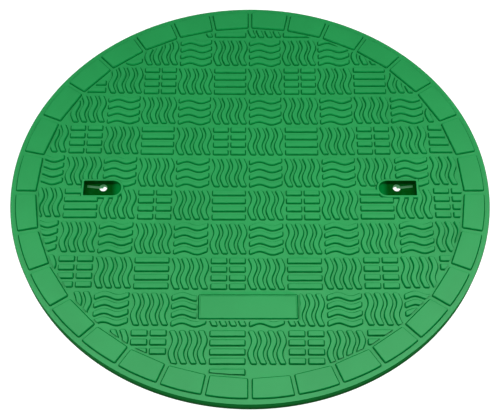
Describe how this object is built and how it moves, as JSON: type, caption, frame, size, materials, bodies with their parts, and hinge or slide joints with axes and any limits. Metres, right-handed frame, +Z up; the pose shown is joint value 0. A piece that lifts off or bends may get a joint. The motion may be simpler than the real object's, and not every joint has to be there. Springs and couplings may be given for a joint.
{
  "type": "plastic manhole cover",
  "caption": "Slightly oval moulded plastic manhole cover with a ring of raised blocks, a checked field of wavy and straight tread bars, keyhole lifting pockets and a ribbed underside.",
  "frame": {"origin": "centre of the underside, on the surface that the lid stands on", "axes": "+X along the length, through both lifting pockets; +Y across the width, away from the plate; +Z up through the tread"},
  "size_m": [0.65, 0.608, 0.0215],
  "materials": {
    "green_plastic": "satin moulded plastic"
  },
  "bodies": {
    "root": {"cover": "green_plastic"}
  },
  "joints": []
}
